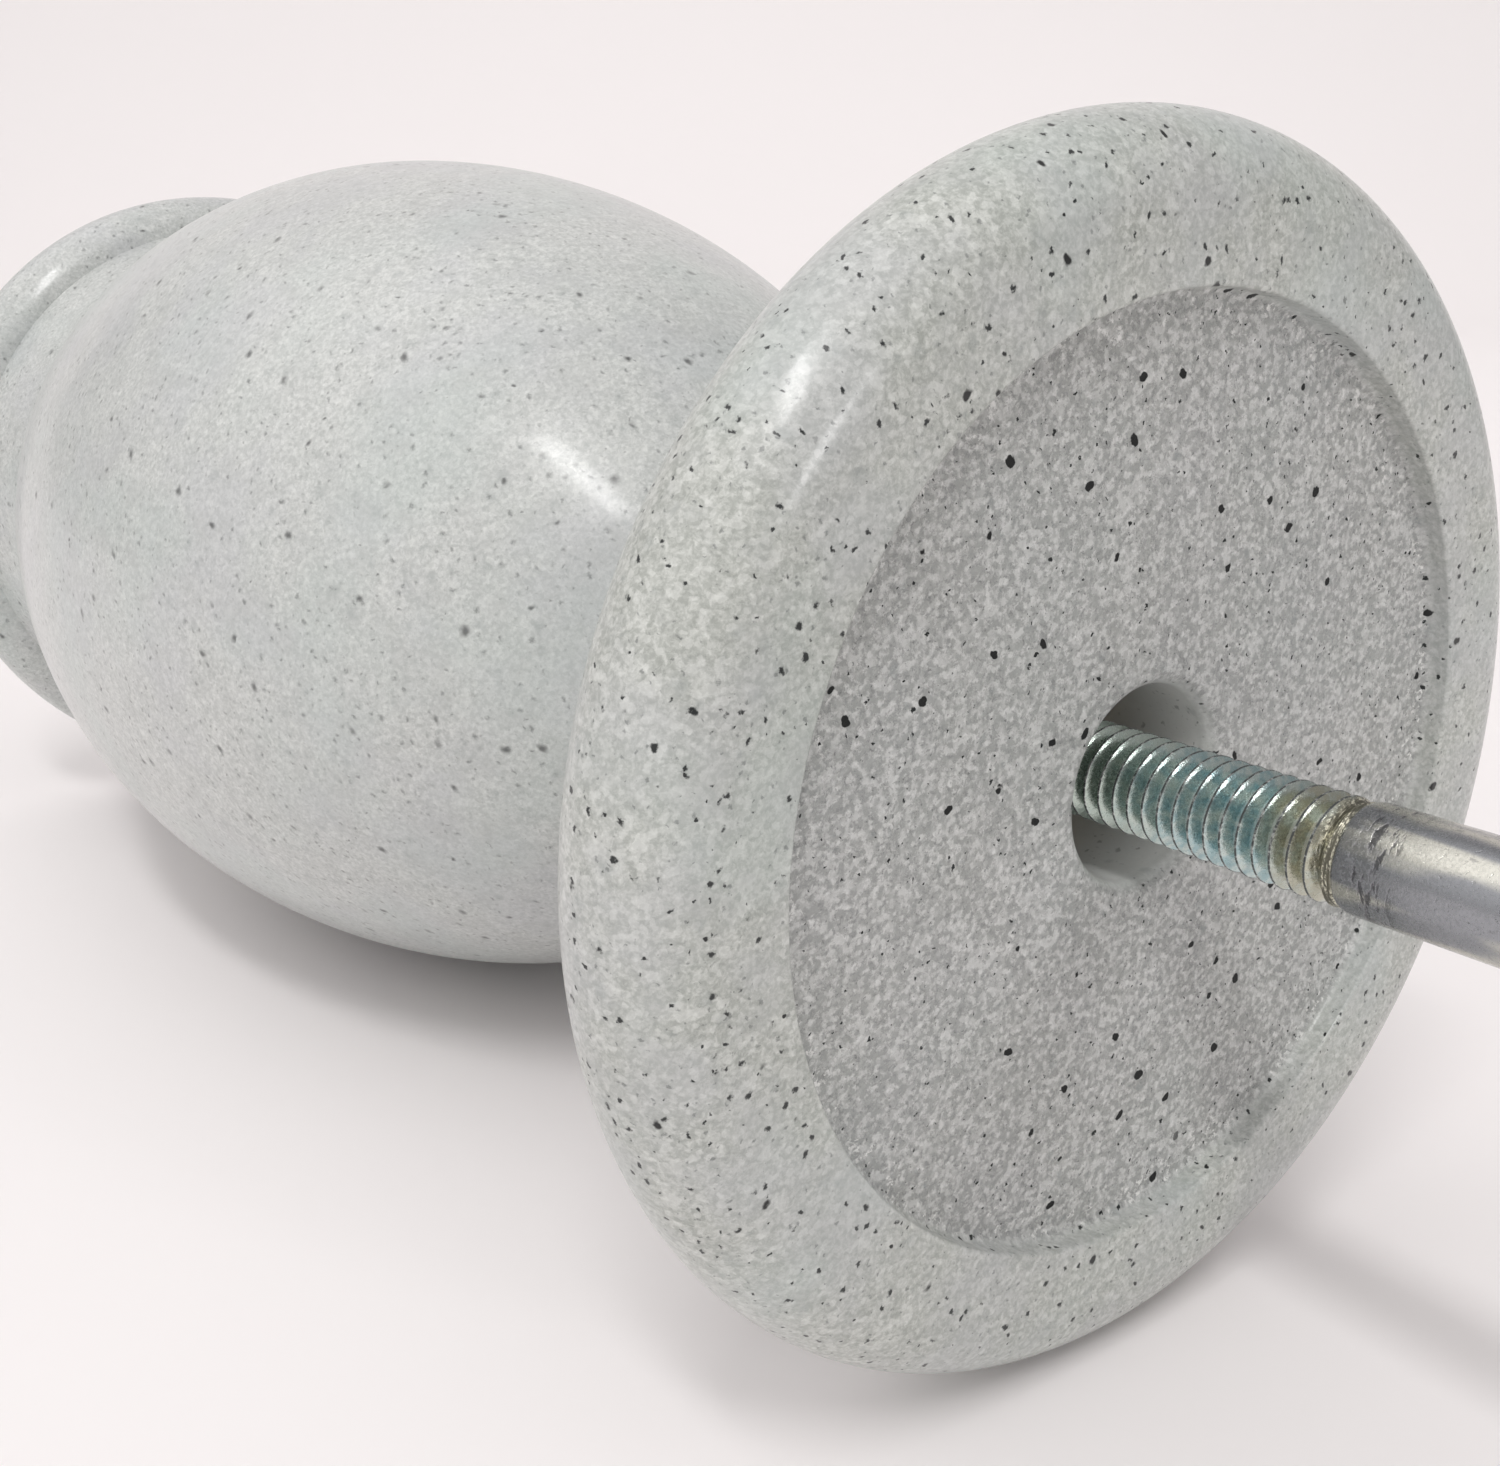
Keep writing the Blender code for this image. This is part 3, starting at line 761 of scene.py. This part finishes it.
def sweep_finish():
    """Matte pale card, seen from its front only."""
    card = Finish(bpy.data.materials.new("sweep_card"))
    tone = card.noise(card.node("ShaderNodeTexCoord", out="Object"), 2.0)
    base = card.colour(tone, (0.87, 0.842, 0.842), (0.90, 0.872, 0.872))
    card.set(Base_Color=base, Roughness=0.75)
    front = Wire(card, card.shader.outputs[0])
    clear = card.node("ShaderNodeBsdfTransparent")
    from_behind = card.node("ShaderNodeNewGeometry", out="Backfacing")
    mixed = card.node("ShaderNodeMixShader", values={0: from_behind, 1: front, 2: clear})
    card.links.new(mixed.socket, card.nodes["Material Output"].inputs["Surface"])
    return card.owner


sweep = make_sweep()
sweep.data.materials.append(sweep_finish())


def direction(azimuth, elevation):
    """A direction in the room: azimuth turns right from straight ahead of the camera."""
    a, e = math.radians(azimuth), math.radians(elevation)
    level = ahead * math.cos(a) + camera_right * math.sin(a)
    return level * math.cos(e) + room_up * math.sin(e)


def area_light(name, place, looks, size, power, roll=0):
    """A rectangular lamp, turned about its own axis by the roll."""
    light = bpy.data.objects.new(name, bpy.data.lights.new(name, "AREA"))
    bpy.context.scene.collection.objects.link(light)
    light.data.shape = "RECTANGLE"
    light.data.size, light.data.size_y = size
    light.data.energy = power
    light.data.color = (1.0, 0.99, 0.985)
    light.matrix_world = look_from(place, looks) @ Matrix.Rotation(math.radians(roll), 4, "Z")


lamp_target = Vector((0, 0, 0.05))
lamp_distance = 1.1
strip_way = direction(-172, 56)
right_way = direction(134, 16)
area_light("lamp strip", lamp_target + strip_way * lamp_distance, -strip_way, (0.50, 0.11), 3.4, roll=-42)
area_light("right lamp", lamp_target + right_way * lamp_distance, -right_way, (0.16, 0.16), 1.1)
area_light("wall wash", ahead * 0.35 + room_up, ahead - room_up * 0.35, (1.6, 0.5), 3)


def make_room():
    """Soft light from all round, brighter high on the left and dimmer behind the camera."""
    room = Finish(bpy.data.worlds.new("studio"), "Background")
    way = room.node("ShaderNodeTexCoord", out="Generated")

    def towards(azimuth, elevation, low, high):
        """How near a way is to a direction, from 0 at one cosine to 1 at the other."""
        near = room.vector("DOT_PRODUCT", way, tuple(direction(azimuth, elevation)), out="Value")
        return room.between(near, low, high)

    bright = towards(-150, 50, 0.0, 1.0) * 0.84 + towards(-66, 57, 0.86, 0.99) * 0.4 + 0.35
    bright = bright * (1 - towards(155, 8, 0.55, 0.92) * 0.5)
    room.set(Color=(1.0, 0.972, 0.968, 1), Strength=bright)
    return room.owner


bpy.context.scene.world = make_room()
bpy.context.scene.view_settings.view_transform = "Standard"
